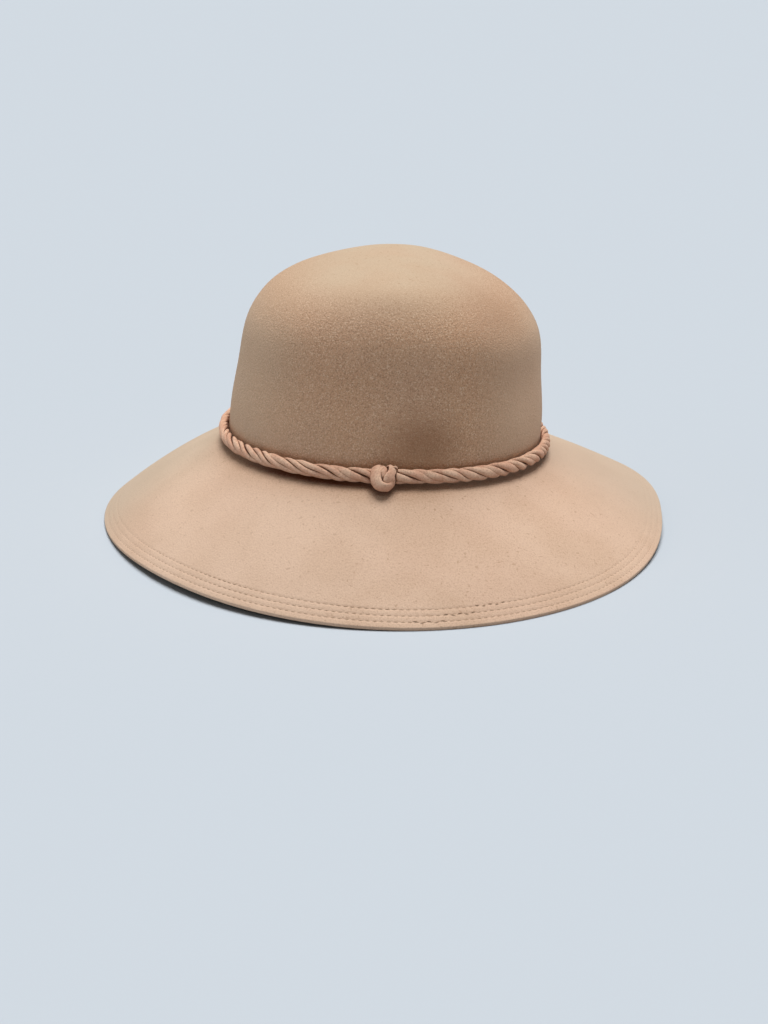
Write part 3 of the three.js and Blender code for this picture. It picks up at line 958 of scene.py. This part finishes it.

# Tones of the band's felt and of the thread, and of the shade painted on the band
BAND_TONE = srgb(232, 184, 156)
PALE_BAND_TONE = srgb(246, 206, 177)
BAND_FIBRE_TONE = srgb(180, 130, 100)
# Painted shade in the band's creases
PAINTED_CREASE_SHADE_TONE = srgb(118, 66, 40)
# Painted shade on the band's downward faces
PAINTED_UNDERSIDE_SHADE_TONE = srgb(150, 102, 74)
BAND_SHEEN_TINT = srgb(244, 218, 200)
THREAD_TONE = srgb(190, 158, 132)
PALE_THREAD_TONE = srgb(200, 170, 145)

# Places where shade and light are painted into the felt's tone: painted shade in the low dent, on the
# # shoulder and at the brim's +X side, and painted light at the brim's front -X side and the wall's +X
# # side. It is full within the core and fades out at the reach.
PAINTED_LIGHT_SPOTS = [
    dict(place=(19, -98, 68), core=4, reach=30, share=0.55, tone=(150, 106, 74)),
    dict(place=(60, -56, 119), core=2, reach=48, share=0.34, tone=(156, 114, 86)),
    dict(place=(112, 0, 40), core=5, reach=110, share=0.34, tone=(196, 166, 146)),
    dict(place=(-80, -125, 14), core=10, reach=120, share=0.26, tone=(244, 214, 190)),
    dict(place=(82, -45, 84), core=4, reach=62, share=0.34, tone=(228, 186, 154)),
]

# Stretches of the band, to the right of the knot and at its -X end, below which the painted shadow is
# fainter
FAINTER_SHADOW_STRETCHES = [
    dict(place=(70, -80, 50), core=45, reach=100, share=0.35),
    dict(place=(-90, -35, 50), core=20, reach=70, share=0.45),
]


# Heights above the floor between which the brim's look turns into the wall's, and the wall's tone
# into the one on top
ROOT_HEIGHTS = (42.0, 58.0)
DOME_HEIGHTS = (123.0, 152.0)


def ground_color(nodes, height):
    """The felt's ground: pinkish on the brim, browner on the wall, greyer on top, with faint blotches."""
    color = nodes.mix(nodes.ramp(height, *ROOT_HEIGHTS), BRIM_TONE, CROWN_TONE)
    color = nodes.mix(nodes.ramp(height, *DOME_HEIGHTS), color, DOME_TONE)
    blotch = nodes.ramp(nodes.noise(34.0, 2.0), 0.35, 0.65, 0.0, 0.3)
    color = nodes.mix(blotch, color, BLOTCH_TONE)
    pinker = nodes.ramp(nodes.noise(60.0, 1.0), 0.45, 0.7, 0.0, 0.18)
    return nodes.mix(pinker, color, PINKER_TONE)


def with_grain(nodes, color, on_wall):
    """The colour with dark grains and pale points, most of all on the wall, and sparse specks."""
    grain = nodes.ramp(nodes.noise(0.8, 2.0, 0.7), 0.5, 0.62, 0.0, 0.6)
    color = nodes.mix(nodes.math("MULTIPLY", grain, on_wall), color, DARK_GRAIN_TONE)
    points = nodes.ramp(nodes.noise(0.7, 2.0, 0.6), 0.53, 0.64, 0.0, 0.65)
    color = nodes.mix(nodes.math("MULTIPLY", points, on_wall), color, PALE_POINT_TONE)
    specks = nodes.ramp(nodes.noise(1.8, 0.0), 0.74, 0.8, 0.0, 0.35)
    return nodes.mix(specks, color, SPECK_TONE)


def with_painted_light_and_shade(nodes, color, height):
    """The colour, with a greyer painted sheen on the crown's sides, painted shade on the back of the brim,
    and the painted shade and light of places.
    """
    # Painted sheen: the crown's faces that turn along X grow greyer
    on_crown = nodes.ramp(height, 48.0, 66.0)
    sideways = nodes.ramp(nodes.math("ABSOLUTE", nodes.facing_share("X"), 0.0), 0.5, 0.97, 0.0, 0.48)
    color = nodes.mix(nodes.math("MULTIPLY", sideways, on_crown), color, PAINTED_SHEEN_TONE)
    # Painted shade: the brim darkens and greys towards the back
    off_crown = nodes.ramp(height, *ROOT_HEIGHTS, 1.0, 0.0)
    towards_back = nodes.ramp(nodes.place_along("Y"), -75.0, 15.0, 0.0, 0.6)
    color = nodes.mix(nodes.math("MULTIPLY", towards_back, off_crown), color, PAINTED_BRIM_SHADE_TONE)
    # Painted shade and painted light at the places listed above
    for spot in PAINTED_LIGHT_SPOTS:
        distance = nodes.distance_from(spot["place"])
        near = nodes.ramp(distance, spot["core"], spot["reach"], spot["share"], 0.0)
        color = nodes.mix(near, color, srgb(*spot["tone"]))
    return color


def with_painted_shadow_under_band(nodes, color):
    """The colour, with a deep brown painted shadow where the band hides the felt below it."""
    # Painted shadow: darkest on upward faces that the band and wall hide
    hidden = nodes.ramp(nodes.hollow(5.5), 0.12, 0.42)
    facing_up = nodes.ramp(nodes.facing_share("Z"), 0.35, 0.65, 0.15, 1.0)
    hidden = nodes.math("MULTIPLY", hidden, facing_up)
    for stretch in FAINTER_SHADOW_STRETCHES:
        distance = nodes.distance_from(stretch["place"])
        deep = nodes.ramp(distance, stretch["core"], stretch["reach"], stretch["share"], 1.0)
        hidden = nodes.math("MULTIPLY", hidden, deep)
    return nodes.mix(hidden, color, PAINTED_SHADOW_TONE)


def body_felt_material():
    """Camel wool felt: grainy on the crown's wall, smoother elsewhere, with a fine nap all over."""
    nodes = Nodes("body_felt")
    height = nodes.place_along("Z")
    above_root = nodes.ramp(height, 44.0, 62.0, 0.4, 1.0)
    below_top = nodes.ramp(height, 128.0, 150.0, 1.0, 0.3)
    on_wall = nodes.math("MULTIPLY", above_root, below_top)
    color = ground_color(nodes, height)
    color = with_grain(nodes, color, on_wall)
    color = with_painted_light_and_shade(nodes, color, height)
    color = with_painted_shadow_under_band(nodes, color)
    pebbles = nodes.bump(nodes.noise(1.0, 2.0, 0.6), on_wall, 0.5)
    nap = nodes.bump(nodes.noise(0.6, 2.0, 0.6), 0.35, 0.2, pebbles)
    return nodes.finish(color, nap, sheen=0.12, sheen_tint=BODY_SHEEN_TINT)


def band_felt_material():
    """Softer pinkish felt of the band, with fine fibres, and painted shade in its creases and on its
    underside.
    """
    nodes = Nodes("band_felt")
    blotch = nodes.ramp(nodes.noise(7.0, 2.0), 0.35, 0.65)
    color = nodes.mix(blotch, BAND_TONE, PALE_BAND_TONE)
    fibres = nodes.ramp(nodes.noise(0.8, 2.0, 0.65), 0.45, 0.65, 0.0, 0.4)
    color = nodes.mix(fibres, color, BAND_FIBRE_TONE)
    # Painted shade, darkest where the creases are deep
    hidden = nodes.ramp(nodes.hollow(2.5), 0.22, 0.62, 0.0, 0.85)
    color = nodes.mix(hidden, color, PAINTED_CREASE_SHADE_TONE)
    # Painted shade on faces that turn down
    facing_down = nodes.ramp(nodes.facing_share("Z"), -0.75, 0.3, 0.6, 0.0)
    color = nodes.mix(facing_down, color, PAINTED_UNDERSIDE_SHADE_TONE)
    soft = nodes.bump(nodes.noise(1.6, 3.0, 0.55), 0.6, 0.5)
    nap = nodes.bump(nodes.noise(0.5, 2.0, 0.6), 0.4, 0.16, soft)
    return nodes.finish(color, nap, sheen=0.12, sheen_tint=BAND_SHEEN_TINT)


def thread_material():
    """Sewing thread, a little darker than the brim's felt."""
    nodes = Nodes("brim_thread")
    twist = nodes.ramp(nodes.noise(0.35, 1.0), 0.35, 0.65)
    color = nodes.mix(twist, THREAD_TONE, PALE_THREAD_TONE)
    normal = nodes.bump(nodes.noise(0.3, 1.0), 0.4, 0.08)
    return nodes.finish(color, normal, sheen=0.1, roughness=0.75)


felt.data.materials.append(body_felt_material())
stitches.data.materials.append(thread_material())
band_felt = band_felt_material()
for piece in [knot, *plies]:
    piece.data.materials.append(band_felt)


# The stage: a pale blue-grey floor that reaches far behind the hat. Its size is in metres.
FLOOR_SIZE = 60.0
FLOOR_COLOR = srgb(191, 199, 207)

bpy.ops.mesh.primitive_plane_add(size=FLOOR_SIZE, location=(0, 0, 0))
floor = bpy.context.object
floor.name = "floor"
floor_material = bpy.data.materials.new("floor")
floor_material.use_nodes = True
floor_shader = floor_material.node_tree.nodes["Principled BSDF"]
floor_shader.inputs["Base Color"].default_value = FLOOR_COLOR
floor_shader.inputs["Roughness"].default_value = 1.0
floor_shader.inputs["Specular IOR Level"].default_value = 0.0
floor.data.materials.append(floor_material)


# Light: a broad soft one overhead, a little towards the back and the +X side, a weak one low at the
# -X side, and the sky's even fill. The spread is the angle that a light's source spans.
LIGHTS = [
    dict(name="overhead", strength=3.4, spread=42, azimuth=70, elevation=79),
    dict(name="side", strength=0.3, spread=60, azimuth=195, elevation=6),
]
SKY_COLOR = srgb(230, 227, 222)
SKY_STRENGTH = 0.2


def add_light(row):
    """A soft light from far away, at an azimuth and an elevation."""
    light = bpy.data.lights.new(row["name"], "SUN")
    light.energy = row["strength"]
    light.angle = math.radians(row["spread"])
    made = bpy.data.objects.new(row["name"], light)
    a = math.radians(row["azimuth"])
    e = math.radians(row["elevation"])
    source = Vector((math.cos(a) * math.cos(e), math.sin(a) * math.cos(e), math.sin(e)))
    made.rotation_euler = source.to_track_quat("Z", "Y").to_euler()
    bpy.context.collection.objects.link(made)


for row in LIGHTS:
    add_light(row)
world = bpy.data.worlds.new("sky")
world.use_nodes = True
world.node_tree.nodes["Background"].inputs["Color"].default_value = SKY_COLOR
world.node_tree.nodes["Background"].inputs["Strength"].default_value = SKY_STRENGTH
bpy.context.scene.world = world
bpy.context.scene.view_settings.view_transform = "Standard"


# The camera: level across, looking down a little at the hat's front
IMAGE_HEIGHT_PX = 1024
IMAGE_CENTRE_PX = (384.0, 512.0)
FOCAL_LENGTH_PX = 2159.4
CAMERA_ELEVATION = 15.45
CAMERA_DISTANCE = 1180.0
AIM = (0.1, -2.3, 70.0)
AIM_PX = (382.9, 396.5)  # where the aim lies in the image

camera_data = bpy.data.cameras.new("camera")
camera_data.lens = FOCAL_LENGTH_PX / IMAGE_HEIGHT_PX * camera_data.sensor_width
camera_data.shift_x = (IMAGE_CENTRE_PX[0] - AIM_PX[0]) / IMAGE_HEIGHT_PX
camera_data.shift_y = (AIM_PX[1] - IMAGE_CENTRE_PX[1]) / IMAGE_HEIGHT_PX
camera = bpy.data.objects.new("camera", camera_data)
elevation = math.radians(CAMERA_ELEVATION)
towards_camera = Vector((0, -math.cos(elevation), math.sin(elevation)))
camera.location = (Vector(AIM) + towards_camera * CAMERA_DISTANCE) * MM
camera.rotation_euler = towards_camera.to_track_quat("Z", "Y").to_euler()
bpy.context.collection.objects.link(camera)
bpy.context.scene.camera = camera
